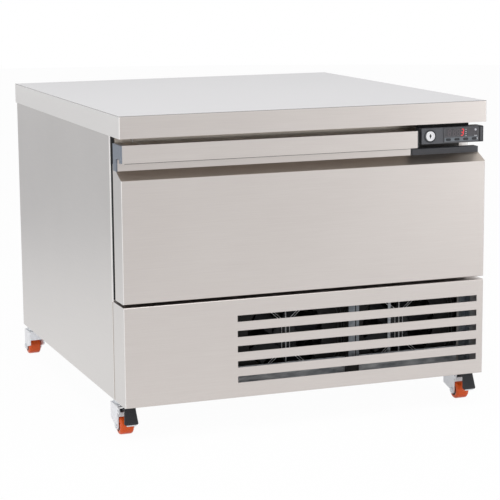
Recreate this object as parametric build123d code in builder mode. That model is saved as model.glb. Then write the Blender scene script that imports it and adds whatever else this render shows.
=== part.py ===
from build123d import *
import math
import os

os.makedirs("parts", exist_ok=True)

# Driving dimensions in millimetres: X runs to the right, Y to the back and Z up from the floor
worktop_width = 720.0
worktop_depth = 780.0
worktop_thickness = 40.0
worktop_sheet = 1.2
worktop_return = 20.0
worktop_corner = 3.0
worktop_edge = 0.8
body_height = 485.0
castor_height = 63.0

# Carcass
side_inset = 2.0
rear_inset = 4.0
sheet = 1.0
side_return = 20.0
fold_radius = 3.0
wall_foam = 46.0
floor_foam = 40.0
rear_foam = 46.0
tray_sheet = 2.0
tray_height = 40.0
rail_depth = 10.0
rail_height = 28.5
rail_sheet = 1.5
rail_end_length = 17.0
rail_joint = 0.8
small_gap = 0.5

# Drawer front
front_thickness = 50.0
front_sheet = 1.2
front_edge = 2.0
inner_panel_thickness = 2.0
gasket_gap = 20.0
gasket_width = 14.0
gasket_margin = 3.0
gasket_clearance = 0.3
gasket_overlap = 10.0
drawer_gap = 5.7
worktop_gap = 11.5
handle_height = 31.5
finger_gap = 17.0
bevel_rise = 14.0
recess_depth = 30.0
lip_thickness = 9.0
arch_height = 6.5
arch_radius = 6.0
handle_wall = 2.0
end_cap_thickness = 3.0
insert_height = 11.0
insert_side_gap = 0.6
insert_wall = 3.0

# Control box and lock
control_width = 128.0
control_height = 30.0
control_depth = 27.0
control_recess = 3.0
control_wall = 2.0
control_right_margin = 4.0
control_side_gap = 6.6
control_below = 5.5
bezel_width = 73.0
bezel_margin = 1.0
bezel_thickness = 1.5
bezel_right = 9.7
controller_depth = 15.0
controller_step = 1.3
case_fit = 0.3
window_height = 14.5
window_thickness = 1.0
window_margin = 3.0
window_fit = 0.1
button_width = 13.0
button_height = 5.0
button_pitch = 18.1
button_count = 4
button_rise = 0.7
button_fit = 0.3
button_flange = 1.0
button_stop = 0.3
button_level = 6.9
button_pocket = 6.0
lock_from_left = 17.2
lock_ring_radius = 9.3
lock_tube_radius = 8.4
lock_barrel_radius = 7.0
lock_fit = 0.05
lock_nut_radius = 11.0
lock_nut_thickness = 4.0
lock_length = 32.0
cam_neck_radius = 4.0
cam_neck_length = 2.5
cam_thickness = 2.5
cam_width = 9.0
cam_length = 30.0
keyhole_height = 8.0
keyhole_width = 2.0
keyhole_depth = 6.0
bracket_sheet = 2.0
bracket_width = 56.0
bracket_inset = 4.0
bracket_overlap = 11.0
bracket_drop = 16.5

# Lower front panel and machine compartment
panel_height = 184.0
panel_sheet = 1.2
panel_seam = 0.8
slot_count = 5
slot_height = 11.9
slot_pitch = 28.4
slot_top_margin = 30.5
slot_right_margin = 14.0
slot_length = 487.0
fan_count = 2
fan_spacing = 236.0
fan_right_inset = 136.0
fan_level = 88.0
fan_opening = 76.0
fan_plate_setback = 20.0
fan_plate_sheet = 1.5
fan_plate_margin = 120.0
guard_half_width = 116.0
guard_half_height = 82.0
guard_corner = 60.0
guard_frame_gap = 7.0
guard_wire = 1.2
guard_stem = 2.4
guard_bar_gap = 8.0
guard_bar_half = 32.0
guard_splay_deg = 42.0
guard_pair_gap = 6.0
rotor_hub = 25.0
rotor_depth = 20.0
rotor_radius = 68.0
rotor_blades = 5
rotor_pitch_deg = 30.0
blade_thickness = 1.8
blade_chord = 34.0
rotor_gap = 2.5
shaft_radius = 3.0
shaft_fit = 0.05
shaft_length = 14.0
motor_radius = 30.0
motor_length = 32.0
motor_gap = 8.0
motor_arms = 4
motor_arm_width = 10.0
motor_arm_thickness = 3.0
motor_arm_reach = 90.0
post_offset = 8.0
post_width = 22.0
post_depth = 16.0
post_sheet = 1.2
condenser_gap = 12.0
condenser_depth = 50.0
condenser_height = 160.0
condenser_fins = 24
fin_thickness = 0.8
tube_radius = 4.75
condenser_tubes = 5
tube_margin = 20.0
end_plate = 1.5
compressor_radius = 72.0
compressor_height = 140.0
compressor_wall = 16.0
compressor_dome = 30.0
compressor_from_left = 170.0
compressor_from_rear = 180.0
compressor_plate = 3.0
compressor_plate_width = 180.0
compressor_plate_depth = 130.0
foot_height = 17.0
foot_radius = 10.0
foot_inset = 14.0
drip_width = 180.0
drip_depth = 150.0
drip_height = 26.0
drip_wall = 1.5
drip_from_right = 30.0
drip_from_rear = 30.0
rear_slots = 6
rear_slot_columns = 2
rear_slot_height = 5.0
rear_slot_length = 190.0
rear_slot_pitch = 16.0
rear_slot_level = 125.0
gland_from_right = 60.0
gland_level = 40.0
gland_radius = 11.0
gland_length = 4.6
screw_head_radius = 4.0
screw_head_height = 2.0
screw_radius = 2.0
screw_length = 7.0
screw_fit = 0.05
screw_rows = 3
screw_pitch = 50.0
screw_first = 20.0

# Drawer box and runners
runner_height = 46.0
runner_length = 548.0
runner_sheet = 1.5
runner_play = 0.3
runner_width = 14.0
runner_level = 64.0
frame_sheet = 2.0
frame_bottom = 22.0
frame_tail = 3.0
tub_length = 552.0
tub_depth = 150.0
tub_wall = 1.2
tub_side_gap = 6.0
tub_front_gap = 4.0
tub_corner = 20.0
tub_rim_overlap = 1.0
tub_top_below_cavity = 13.0
evaporator_gap = 24.0
evaporator_depth = 60.0
evaporator_height = 140.0
evaporator_width = 500.0
evaporator_fins = 26
evaporator_tubes = 4

# Castors
wheel_radius = 17.5
wheel_width = 26.0
wheel_corner = 4.5
wheel_dish = 2.0
wheel_dish_radius = 11.5
wheel_inset = 16.5
front_wheel_setback = 62.0
rear_wheel_setback = 22.0
castor_trail = 16.0
axle_radius = 3.0
axle_fit = 0.05
axle_head_radius = 5.2
axle_head = 2.0
fork_side_gap = 1.0
fork_sheet = 2.5
fork_front = 24.0
fork_back = 20.0
fork_shoulder = 25.0
fork_end_radius = 8.0
fork_head_gap = 0.3
hood_bottom = 35.0
hood_top = 47.0
rear_hood_bottom = 36.0
stem_plate_radius = 16.0
stem_plate = 2.5
race_radius = 14.0
race_height = 5.5
stem_radius = 5.0
stem_length = 17.0
boss_radius = 6.9
kingpin_radius = 4.0
kingpin_head_radius = 7.0
kingpin_head = 2.5
pedal_pivot_reach = 28.5
pedal_pivot_level = 48.0
pedal_hub_radius = 3.6
pedal_pin_radius = 1.5
pedal_outline = (
    (28.5, 50.9),
    (46.0, 58.2),
    (49.0, 58.8),
    (50.8, 57.0),
    (59.0, 26.8),
    (55.2, 25.8),
    (47.6, 53.6),
    (28.5, 45.7),
)
pedal_width = 26.0
pedal_top_width = 20.0
pedal_side_gap = 0.3
pedal_corner = 3.0
ear_reach = 33.0
ear_bottom = 42.5
ear_top = 53.5

# Planes and levels that follow from the sizes above
body_bottom = castor_height
body_top = body_bottom + body_height
front_y = -worktop_depth / 2
half_width = worktop_width / 2 - side_inset
carcass_front = front_y + front_thickness + gasket_gap
carcass_back = worktop_depth / 2 - rear_inset
panel_top = body_bottom + panel_height
drawer_bottom = panel_top + drawer_gap
handle_top = body_top - worktop_gap
handle_bottom = handle_top - handle_height
drawer_top = handle_bottom - finger_gap
face_top = drawer_top - bevel_rise
recess_back = front_y + recess_depth
insert_top = drawer_top + insert_height
front_back = front_y + front_thickness
skin_back = front_back - inner_panel_thickness
frame_face = carcass_front + sheet
cavity_half = half_width - sheet - wall_foam - sheet
cavity_bottom = panel_top + floor_foam + sheet
cavity_top = drawer_top - gasket_overlap
foam_back = carcass_back - 2 * sheet
cavity_back = foam_back - rear_foam - sheet
tray_floor = body_bottom + tray_sheet
control_right = half_width - control_right_margin
control_left = control_right - control_width
control_bottom = handle_bottom + control_below
control_top = control_bottom + control_height
control_face = front_y + control_recess
control_back = control_face + control_depth
handle_right = control_left - control_side_gap
screw_x = half_width - side_return / 2
fold_inside = fold_radius - sheet
screw_levels = [body_bottom + tray_height + screw_first + screw_pitch * row for row in range(screw_rows)]
lock_x = control_left + lock_from_left
lock_z = (control_bottom + control_top) / 2


def slab(x_range, y_range, z_range, mode=Mode.ADD):
    """Put a rectangular block between two corners into the part being built."""
    ranges = (x_range, y_range, z_range)
    with Locations(tuple(sum(r) / 2 for r in ranges)):
        Box(*(high - low for low, high in ranges), mode=mode)


def rod(start, direction, radius, length, mode=Mode.ADD):
    """Put a cylinder that starts at a point and runs along a direction into the part being built."""
    with BuildSketch(Plane(origin=start, z_dir=direction)) as disc:
        Circle(radius)
    extrude(disc.sketch, amount=length, mode=mode)


def keep(builder, name):
    """Label a finished piece with its name and write it to its own STEP file."""
    builder.part.label = name
    export_step(builder.part, f"parts/{name}.step")


# Worktop: a folded stainless tray with returned lower edges, over a board core
inner_width = worktop_width - 2 * worktop_sheet
inner_depth = worktop_depth - 2 * worktop_sheet
with BuildPart() as worktop:
    with BuildSketch(Plane.XY.offset(body_top)):
        RectangleRounded(worktop_width, worktop_depth, worktop_corner)
    extrude(amount=worktop_thickness)
    fillet(worktop.faces().sort_by(Axis.Z)[-1].edges(), worktop_edge)
    with BuildSketch(Plane.XY.offset(body_top)):
        Rectangle(inner_width, inner_depth)
    extrude(amount=worktop_thickness - worktop_sheet, mode=Mode.SUBTRACT)
    with BuildSketch(Plane.XY.offset(body_top)):
        Rectangle(inner_width, inner_depth)
        Rectangle(inner_width - 2 * worktop_return, inner_depth - 2 * worktop_return, mode=Mode.SUBTRACT)
    extrude(amount=worktop_sheet)
keep(worktop, "worktop")

with BuildPart() as worktop_core:
    with BuildSketch(Plane.XY.offset(body_top + worktop_sheet)):
        Rectangle(inner_width, inner_depth)
    extrude(amount=worktop_thickness - 2 * worktop_sheet)
keep(worktop_core, "worktop_core")

# Side panels: stainless sheets with a return along the front and the rear edge
for side, side_name in ((-1, "left"), (1, "right")):
    with BuildPart() as side_panel:
        middle_y = (carcass_front + carcass_back) / 2
        with BuildSketch(Plane.XY.offset(body_bottom)):
            with Locations((side * (half_width - side_return / 2), middle_y)):
                Rectangle(side_return, carcass_back - carcass_front)
            with Locations((side * (half_width - sheet - side_return / 2), middle_y)):
                Rectangle(side_return, carcass_back - carcass_front - 2 * sheet, mode=Mode.SUBTRACT)
        extrude(amount=body_height)
        folds = side_panel.edges().filter_by(Axis.Z).group_by(Axis.X)
        outer_folds, inner_folds = (folds[-1], folds[-2]) if side > 0 else (folds[0], folds[1])
        fillet(outer_folds, fold_radius)
        fillet(inner_folds, fold_inside)
        for screw_z in screw_levels:
            start = (side * screw_x, carcass_back - 2 * sheet, screw_z)
            rod(start, (0, 1, 0), screw_radius + screw_fit, 3 * sheet, mode=Mode.SUBTRACT)
    keep(side_panel, f"{side_name}_side_panel")

# Base tray: folded steel with an upstand all round and a boss for each castor stem
swivel_x = half_width - wheel_inset
front_swivel_y = front_y + front_wheel_setback + castor_trail
rear_swivel_y = worktop_depth / 2 - rear_wheel_setback - castor_trail
swivels = [(x, y) for y in (front_swivel_y, rear_swivel_y) for x in (-swivel_x, swivel_x)]
tray_x = (-(half_width - sheet), half_width - sheet)
tray_y = (frame_face, foam_back)
with BuildPart() as base_tray:
    slab(tray_x, tray_y, (body_bottom, body_bottom + tray_height))
    fillet(base_tray.edges().filter_by(Axis.Z), fold_inside)
    inner_x = (tray_x[0] + tray_sheet, tray_x[1] - tray_sheet)
    inner_y = (tray_y[0] + tray_sheet, tray_y[1] - tray_sheet)
    slab(inner_x, inner_y, (tray_floor, body_bottom + tray_height), mode=Mode.SUBTRACT)
    for x, y in swivels:
        rod((x, y, body_bottom), (0, 0, 1), boss_radius, stem_length)
        rod((x, y, body_bottom), (0, 0, 1), stem_radius + axle_fit, stem_length, mode=Mode.SUBTRACT)
keep(base_tray, "base_tray")

# Rear panel above, and the louvred rear grille of the machine compartment below it
rear_half = half_width - fold_radius
rear_x = (-rear_half, rear_half)
rear_y = (foam_back, foam_back + sheet)
with BuildPart() as rear_panel:
    slab(rear_x, rear_y, (panel_top + small_gap, body_top - small_gap))
keep(rear_panel, "rear_panel")

gland_x = half_width - gland_from_right
gland_z = body_bottom + gland_level
with BuildPart() as rear_grille:
    slab(rear_x, rear_y, (body_bottom + small_gap, panel_top - small_gap))
    with BuildSketch(Plane.XZ.offset(-foam_back)):
        with Locations((0, body_bottom + rear_slot_level)):
            column_pitch = rear_slot_length + 2 * side_return
            with GridLocations(column_pitch, rear_slot_pitch, rear_slot_columns, rear_slots):
                SlotOverall(rear_slot_length, rear_slot_height)
    extrude(amount=-sheet, mode=Mode.SUBTRACT)
    for side in (-1, 1):
        for screw_z in screw_levels:
            start = (side * screw_x, foam_back - sheet, screw_z)
            rod(start, (0, 1, 0), screw_radius + screw_fit, 3 * sheet, mode=Mode.SUBTRACT)
keep(rear_grille, "rear_grille")

with BuildPart() as panel_screws:
    for side in (-1, 1):
        for screw_z in screw_levels:
            start = (side * screw_x, carcass_back + screw_head_height, screw_z)
            rod(start, (0, -1, 0), screw_radius, screw_length)
            rod(start, (0, -1, 0), screw_head_radius, screw_head_height)
keep(panel_screws, "panel_screws")

# Blanked cable gland where a supply lead enters
with BuildPart() as cable_gland:
    with BuildSketch(Plane(origin=(gland_x, foam_back + sheet, gland_z), z_dir=(0, 1, 0))):
        RegularPolygon(gland_radius, 6)
    extrude(amount=gland_length / 2)
    rod((gland_x, foam_back + sheet, gland_z), (0, 1, 0), gland_radius * 0.8, gland_length)
    fillet(cable_gland.faces().sort_by(Axis.Y)[-1].edges(), gland_length / 3)
keep(cable_gland, "cable_gland")

# Liner of the drawer cavity, and the foam between it and the outer sheets
liner_x = (-(cavity_half + sheet), cavity_half + sheet)
liner_y = (frame_face, cavity_back + sheet)
liner_z = (cavity_bottom - sheet, cavity_top + sheet)
cavity_x = (-cavity_half, cavity_half)
cavity_z = (cavity_bottom, cavity_top)
with BuildPart() as cabinet_liner:
    slab(liner_x, liner_y, liner_z)
    slab(cavity_x, (frame_face, cavity_back), cavity_z, mode=Mode.SUBTRACT)
keep(cabinet_liner, "cabinet_liner")

with BuildPart() as cabinet_insulation:
    slab((-(half_width - sheet), half_width - sheet), (frame_face, foam_back), (panel_top, body_top))
    fillet(cabinet_insulation.edges().filter_by(Axis.Z), fold_inside)
    slab(liner_x, liner_y, liner_z, mode=Mode.SUBTRACT)
keep(cabinet_insulation, "cabinet_insulation")

# Front frame: the flat steel ring that the drawer gasket closes on
frame_half = half_width - side_return - small_gap
with BuildPart() as front_frame:
    frame_y = (carcass_front, frame_face)
    slab((-frame_half, frame_half), frame_y, (panel_top + small_gap, body_top - small_gap))
    slab(cavity_x, frame_y, cavity_z, mode=Mode.SUBTRACT)
keep(front_frame, "front_frame")

# Top rail under the worktop: a long channel and a short end piece at each side
rail_y = (carcass_front - rail_depth, carcass_front)
rail_z = (body_top - small_gap - rail_height, body_top - small_gap)
rail_end = frame_half
rail_half = rail_end - rail_end_length - rail_joint
joint_end = rail_half + rail_joint
with BuildPart() as top_rail:
    for left, right in ((-rail_half, rail_half), (-rail_end, -joint_end), (joint_end, rail_end)):
        slab((left, right), rail_y, rail_z)
    inside_z = (rail_z[0] + rail_sheet, rail_z[1] - rail_sheet)
    slab((-rail_end, rail_end), (rail_y[0] + rail_sheet, rail_y[1]), inside_z, mode=Mode.SUBTRACT)
keep(top_rail, "top_rail")

# Lower front panel: a stainless tray with five long air slots
panel_back = carcass_front - panel_seam
slot_right = half_width - slot_right_margin
slot_top = panel_top - slot_top_margin
with BuildPart() as lower_front_panel:
    slab((-half_width, half_width), (front_y, panel_back), (body_bottom, panel_top))
    fillet(lower_front_panel.faces().sort_by(Axis.Y)[0].edges(), front_edge)
    offset(amount=-panel_sheet, openings=lower_front_panel.faces().sort_by(Axis.Y)[-1])
    for slot in range(slot_count):
        top = slot_top - slot * slot_pitch
        slot_y = (front_y - panel_sheet, front_y + 2 * panel_sheet)
        slab((slot_right - slot_length, slot_right), slot_y, (top - slot_height, top), mode=Mode.SUBTRACT)
keep(lower_front_panel, "lower_front_panel")

# Condenser fans: a plate with two openings, and in front of it a post that stands on the tray's edge
fan_z = body_bottom + fan_level
fan_right = half_width - fan_right_inset
fan_centres = [fan_right - fan_spacing * (fan_count - 1 - i) for i in range(fan_count)]
fan_plate_y = carcass_front + fan_plate_setback
plate_x = (fan_centres[0] - fan_plate_margin, fan_centres[-1] + fan_plate_margin)
post_x = sum(fan_centres) / fan_count + post_offset
post_front = frame_face - post_depth
post_z = (body_bottom + panel_sheet + small_gap, panel_top - panel_sheet - small_gap)
with BuildPart() as fan_plate:
    slab(plate_x, (fan_plate_y, fan_plate_y + fan_plate_sheet), (tray_floor, panel_top))
    for x in fan_centres:
        rod((x, fan_plate_y, fan_z), (0, 1, 0), fan_opening, fan_plate_sheet, mode=Mode.SUBTRACT)
    outer = (post_x - post_width / 2, post_x + post_width / 2)
    inner = (outer[0] + post_sheet, outer[1] - post_sheet)
    slab(outer, (post_front, frame_face), post_z)
    slab(inner, (post_front + post_sheet, frame_face), post_z, mode=Mode.SUBTRACT)
keep(fan_plate, "fan_plate")

# Wire guards: two rounded frames on the plate, a stem and two bars, and pairs of splayed wires
splay = math.radians(guard_splay_deg)
guard_reach = guard_half_height - guard_wire
splay_length = (guard_reach - guard_bar_half) / math.sin(splay)
wire_y = fan_plate_y - 1.25 * guard_wire
stem_y = fan_plate_y - guard_wire - guard_stem / 4
with BuildPart() as fan_guards:
    for x in fan_centres:
        for inset in (0, guard_frame_gap):
            width = 2 * (guard_half_width - inset)
            height = 2 * (guard_half_height - inset)
            corner = guard_corner - inset
            with BuildSketch(Plane(origin=(x, fan_plate_y, fan_z), x_dir=(1, 0, 0), z_dir=(0, -1, 0))):
                RectangleRounded(width, height, corner)
                opening = (width - 2 * guard_wire, height - 2 * guard_wire)
                RectangleRounded(*opening, corner - guard_wire, mode=Mode.SUBTRACT)
            extrude(amount=guard_wire)
        rod((x, stem_y, fan_z - guard_reach), (0, 0, 1), guard_stem / 2, 2 * guard_reach)
        for side in (-1, 1):
            bar_x = x + side * guard_bar_gap
            rod((bar_x, wire_y, fan_z - guard_bar_half), (0, 0, 1), guard_wire / 2, 2 * guard_bar_half)
            for end in (-1, 1):
                outward = (side * math.cos(splay), 0, end * math.sin(splay))
                for shift in (0, guard_pair_gap):
                    start = (bar_x + side * shift, wire_y, fan_z + end * guard_bar_half)
                    rod(start, outward, guard_wire / 2, splay_length)
keep(fan_guards, "fan_guards")

rotor_front = fan_plate_y + rotor_gap
rotor_back = rotor_front + rotor_depth
motor_front = rotor_back + motor_gap
with BuildPart() as fan_motors:
    for x in fan_centres:
        arm_y = motor_front + motor_length / 2
        rod((x, motor_front, fan_z), (0, 1, 0), motor_radius, motor_length)
        for arm in range(motor_arms):
            angle = 2 * math.pi * (arm + 0.5) / motor_arms
            outward = (math.cos(angle), 0, math.sin(angle))
            reach = motor_arm_reach - motor_radius / 2
            start = (x + motor_radius / 2 * outward[0], arm_y, fan_z + motor_radius / 2 * outward[2])
            with BuildSketch(Plane(origin=start, x_dir=(0, 1, 0), z_dir=outward)):
                Rectangle(motor_arm_thickness, motor_arm_width)
            extrude(amount=reach)
            foot = motor_arm_reach - motor_arm_thickness / 2
            foot_at = (x + foot * outward[0], fan_plate_y + fan_plate_sheet, fan_z + foot * outward[2])
            with BuildSketch(Plane(origin=foot_at, x_dir=outward, z_dir=(0, 1, 0))):
                Rectangle(motor_arm_thickness, motor_arm_width)
            extrude(amount=arm_y - foot_at[1])
        bore = shaft_radius + shaft_fit
        rod((x, motor_front, fan_z), (0, 1, 0), bore, motor_length / 2, mode=Mode.SUBTRACT)
keep(fan_motors, "fan_motors")

for x, side_name in zip(fan_centres, ("left", "right")):
    with BuildPart() as fan_rotor:
        rod((x, rotor_front, fan_z), (0, 1, 0), rotor_hub, rotor_depth)
        fillet(fan_rotor.faces().sort_by(Axis.Y)[0].edges(), rotor_depth / 4)
        rod((x, rotor_back, fan_z), (0, 1, 0), shaft_radius, shaft_length)
        for blade in range(rotor_blades):
            angle = 2 * math.pi * blade / rotor_blades
            outward = (math.cos(angle), 0, math.sin(angle))
            root = rotor_hub * 0.8
            start = (x + root * outward[0], rotor_front + rotor_depth / 2, fan_z + root * outward[2])
            with BuildSketch(Plane(origin=start, x_dir=(0, 1, 0), z_dir=outward)):
                Rectangle(blade_thickness, blade_chord, rotation=rotor_pitch_deg)
            extrude(amount=rotor_radius - root)
    keep(fan_rotor, f"{side_name}_fan_rotor")


def finned_coil(x_range, y_range, z_range, fins, tubes, plate_range):
    """Put a coil of sheet fins on straight tubes between two end plates into the part being built."""
    left, right = x_range
    for end in (left, right - end_plate):
        slab((end, end + end_plate), plate_range[0], plate_range[1])
    pitch = (right - left - end_plate) / (fins + 1)
    for fin in range(fins):
        at = left + end_plate / 2 + pitch * (fin + 1)
        slab((at - fin_thickness / 2, at + fin_thickness / 2), y_range, z_range)
    rise = (z_range[1] - z_range[0] - 2 * tube_margin) / (tubes - 1)
    for tube in range(tubes):
        start = (left, sum(y_range) / 2, z_range[0] + tube_margin + rise * tube)
        rod(start, (1, 0, 0), tube_radius, right - left)


motor_back = motor_front + motor_length
condenser_y = (motor_back + condenser_gap, motor_back + condenser_gap + condenser_depth)
condenser_z = (tray_floor + small_gap, tray_floor + small_gap + condenser_height)
with BuildPart() as condenser:
    ends = (condenser_y, (tray_floor, condenser_z[1]))
    finned_coil(plate_x, condenser_y, condenser_z, condenser_fins, condenser_tubes, ends)
keep(condenser, "condenser")

# Compressor shell on a footed plate, and the tray that boils off the defrost water
compressor_x = -half_width + compressor_from_left
compressor_y = carcass_back - compressor_from_rear
feet_top = tray_floor + foot_height
with BuildPart() as compressor:
    base = (compressor_x, compressor_y, feet_top)
    rod(base, (0, 0, 1), compressor_radius, compressor_height)
    fillet(compressor.faces().sort_by(Axis.Z)[-1].edges(), compressor_dome)
    with BuildSketch(Plane(origin=base, z_dir=(0, 0, 1))):
        RectangleRounded(compressor_plate_width, compressor_plate_depth, foot_inset)
    extrude(amount=compressor_plate)
    with BuildSketch(Plane(origin=(compressor_x, compressor_y, tray_floor), z_dir=(0, 0, 1))):
        spread_x = compressor_plate_width - 2 * foot_inset
        spread_y = compressor_plate_depth - 2 * foot_inset
        with GridLocations(spread_x, spread_y, 2, 2):
            Circle(foot_radius)
    extrude(amount=foot_height)
    inside = compressor_radius - compressor_wall
    hollow = compressor_height - compressor_dome - compressor_wall - compressor_plate
    hollow_base = (compressor_x, compressor_y, feet_top + compressor_plate)
    rod(hollow_base, (0, 0, 1), inside, hollow, mode=Mode.SUBTRACT)
keep(compressor, "compressor")

drip_right = half_width - drip_from_right
drip_back = carcass_back - drip_from_rear
with BuildPart() as evaporation_tray:
    drip_z = (tray_floor, tray_floor + drip_height)
    slab((drip_right - drip_width, drip_right), (drip_back - drip_depth, drip_back), drip_z)
    offset(amount=-drip_wall, openings=evaporation_tray.faces().sort_by(Axis.Z)[-1])
keep(evaporation_tray, "evaporation_tray")

# Evaporator coil on the rear wall of the cavity
evaporator_y = (cavity_back - evaporator_gap - evaporator_depth, cavity_back - evaporator_gap)
evaporator_z = (cavity_bottom + evaporator_gap, cavity_bottom + evaporator_gap + evaporator_height)
with BuildPart() as evaporator:
    ends = ((evaporator_y[0], cavity_back), evaporator_z)
    coil_x = (-evaporator_width / 2, evaporator_width / 2)
    finned_coil(coil_x, evaporator_y, evaporator_z, evaporator_fins, evaporator_tubes, ends)
keep(evaporator, "evaporator")


def drawer_front_blank():
    """Give the closed outer form of the drawer front below the handle."""
    with BuildPart() as blank:
        with BuildSketch(Plane.YZ.offset(-half_width)):
            with BuildLine():
                Polyline(
                    (skin_back, drawer_bottom),
                    (front_y, drawer_bottom),
                    (front_y, face_top),
                    (recess_back, drawer_top),
                    (skin_back, drawer_top),
                    close=True,
                )
            make_face()
        extrude(amount=2 * half_width)
        fillet(blank.faces().sort_by(Axis.Y)[0].edges().sort_by(Axis.Z)[:-1], front_edge)
    return blank.part


# Drawer front: a stainless skin, its foam filling, and the inner panel that closes it
front_blank = drawer_front_blank()
with BuildPart() as drawer_skin:
    add(front_blank)
    offset(amount=-front_sheet, openings=drawer_skin.faces().sort_by(Axis.Y)[-1])
keep(drawer_skin, "drawer_skin")

with BuildPart() as drawer_foam:
    add(front_blank)
    add(drawer_skin.part, mode=Mode.SUBTRACT)
keep(drawer_foam, "drawer_foam")

with BuildPart() as drawer_inner_panel:
    slab((-half_width, half_width), (skin_back, front_back), (drawer_bottom, insert_top))
keep(drawer_inner_panel, "drawer_inner_panel")

# Handle: a hollow stainless profile above the recess, with an arched finger groove behind its lip
arch_front = front_y + lip_thickness
with BuildSketch(Plane.YZ) as handle_section:
    with BuildLine():
        Polyline(
            (front_y, handle_bottom),
            (front_y, handle_top),
            (skin_back, handle_top),
            (skin_back, drawer_top),
            (recess_back, drawer_top),
            (recess_back, handle_bottom + arch_height - arch_radius),
        )
        RadiusArc(
            (recess_back, handle_bottom + arch_height - arch_radius),
            (recess_back - arch_radius, handle_bottom + arch_height),
            -arch_radius,
        )
        Line(
            (recess_back - arch_radius, handle_bottom + arch_height),
            (arch_front + arch_radius, handle_bottom + arch_height),
        )
        RadiusArc(
            (arch_front + arch_radius, handle_bottom + arch_height),
            (arch_front, handle_bottom + arch_height - arch_radius),
            -arch_radius,
        )
        Polyline(
            (arch_front, handle_bottom + arch_height - arch_radius),
            (arch_front, handle_bottom),
            (front_y, handle_bottom),
        )
    make_face()

handle_ends = (-half_width + end_cap_thickness, handle_right - end_cap_thickness)
with BuildPart() as handle_profile:
    with BuildSketch(Plane.YZ.offset(handle_ends[0])):
        add(handle_section.sketch_local)
        offset(amount=-handle_wall, mode=Mode.SUBTRACT)
    extrude(amount=handle_ends[1] - handle_ends[0])
keep(handle_profile, "handle_profile")

with BuildPart() as handle_end_caps:
    for start in (-half_width, handle_ends[1]):
        with BuildSketch(Plane.YZ.offset(start)):
            add(handle_section.sketch_local)
        extrude(amount=end_cap_thickness)
keep(handle_end_caps, "handle_end_caps")

# Plastic strip that finishes the top of the drawer front under the control box
with BuildPart() as insert_strip:
    insert_left = handle_right + insert_side_gap
    slab((insert_left, half_width), (recess_back, skin_back), (drawer_top, insert_top))
    pocket_x = (insert_left + insert_wall, half_width - insert_wall)
    pocket_y = (recess_back + insert_wall, skin_back - insert_wall)
    slab(pocket_x, pocket_y, (drawer_top + insert_wall, insert_top), mode=Mode.SUBTRACT)
keep(insert_strip, "insert_strip")

# Magnetic gasket round the cavity mouth
gasket_inner_x = cavity_half + gasket_margin
gasket_inner_z = (cavity_bottom - gasket_margin, cavity_top + gasket_margin)
with BuildPart() as drawer_gasket:
    gasket_y = (front_back, carcass_front - gasket_clearance)
    outer_x = gasket_inner_x + gasket_width
    outer_z = (gasket_inner_z[0] - gasket_width, gasket_inner_z[1] + gasket_width)
    slab((-outer_x, outer_x), gasket_y, outer_z)
    slab((-gasket_inner_x, gasket_inner_x), gasket_y, gasket_inner_z, mode=Mode.SUBTRACT)
keep(drawer_gasket, "drawer_gasket")

# Drawer frame: steel cradle that hangs the tub between the runners
frame_outer = cavity_half - runner_width
frame_inner = frame_outer - frame_sheet
tub_top = cavity_top - tub_top_below_cavity
frame_top = tub_top - tub_wall
frame_low = cavity_bottom + frame_bottom
tub_y = (front_back + tub_front_gap, front_back + tub_front_gap + tub_length)
frame_back = tub_y[1] + frame_tail + 2 * frame_sheet
cross_top = frame_top - 2 * tub_wall
with BuildPart() as drawer_frame:
    for side in (-1, 1):
        side_x = sorted((side * frame_inner, side * frame_outer))
        slab(side_x, (front_back, frame_back), (frame_low, frame_top))
    for start in (front_back, frame_back - frame_sheet):
        slab((-frame_outer, frame_outer), (start, start + frame_sheet), (frame_low, cross_top))
keep(drawer_frame, "drawer_frame")

tub_half = frame_inner - tub_side_gap
with BuildPart() as drawer_tub:
    with BuildSketch(Plane.XY.offset(tub_top - tub_depth)):
        with Locations((0, sum(tub_y) / 2)):
            RectangleRounded(2 * tub_half, tub_length, tub_corner)
    extrude(amount=tub_depth)
    fillet(drawer_tub.faces().sort_by(Axis.Z)[0].edges(), tub_corner / 2)
    offset(amount=-tub_wall, openings=drawer_tub.faces().sort_by(Axis.Z)[-1])
    with BuildSketch(Plane.XY.offset(tub_top - tub_wall)):
        with Locations((0, sum(tub_y) / 2)):
            rim_x = 2 * (frame_inner + tub_rim_overlap)
            RectangleRounded(rim_x, tub_length + 2 * tub_wall, tub_corner)
            inner_x = 2 * (tub_half - tub_wall)
            RectangleRounded(inner_x, tub_length - 2 * tub_wall, tub_corner - tub_wall, mode=Mode.SUBTRACT)
    extrude(amount=tub_wall)
keep(drawer_tub, "drawer_tub")

# Telescopic runners: three channels one inside the next at each side
runner_z = cavity_bottom + runner_level
runner_start = frame_face + runner_sheet
runner_y = (runner_start, runner_start + runner_length)
runner_members = []
for member in range(3):
    step = member * (runner_sheet + runner_play)
    runner_members.append((cavity_half - step, runner_height / 2 - step))
inner_web = frame_outer
with BuildPart() as outer_runners:
    for side in (-1, 1):
        web, half = runner_members[0]
        reach = inner_web + 2 * (runner_sheet + runner_play)
        slab(sorted((side * reach, side * web)), runner_y, (runner_z - half, runner_z + half))
        hollow = sorted((side * reach, side * (web - runner_sheet)))
        half -= runner_sheet
        slab(hollow, runner_y, (runner_z - half, runner_z + half), mode=Mode.SUBTRACT)
keep(outer_runners, "outer_runners")

with BuildPart() as middle_runners:
    for side in (-1, 1):
        web, half = runner_members[1]
        reach = inner_web + runner_sheet + runner_play
        slab(sorted((side * reach, side * web)), runner_y, (runner_z - half, runner_z + half))
        hollow = sorted((side * reach, side * (web - runner_sheet)))
        half -= runner_sheet
        slab(hollow, runner_y, (runner_z - half, runner_z + half), mode=Mode.SUBTRACT)
keep(middle_runners, "middle_runners")

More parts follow.
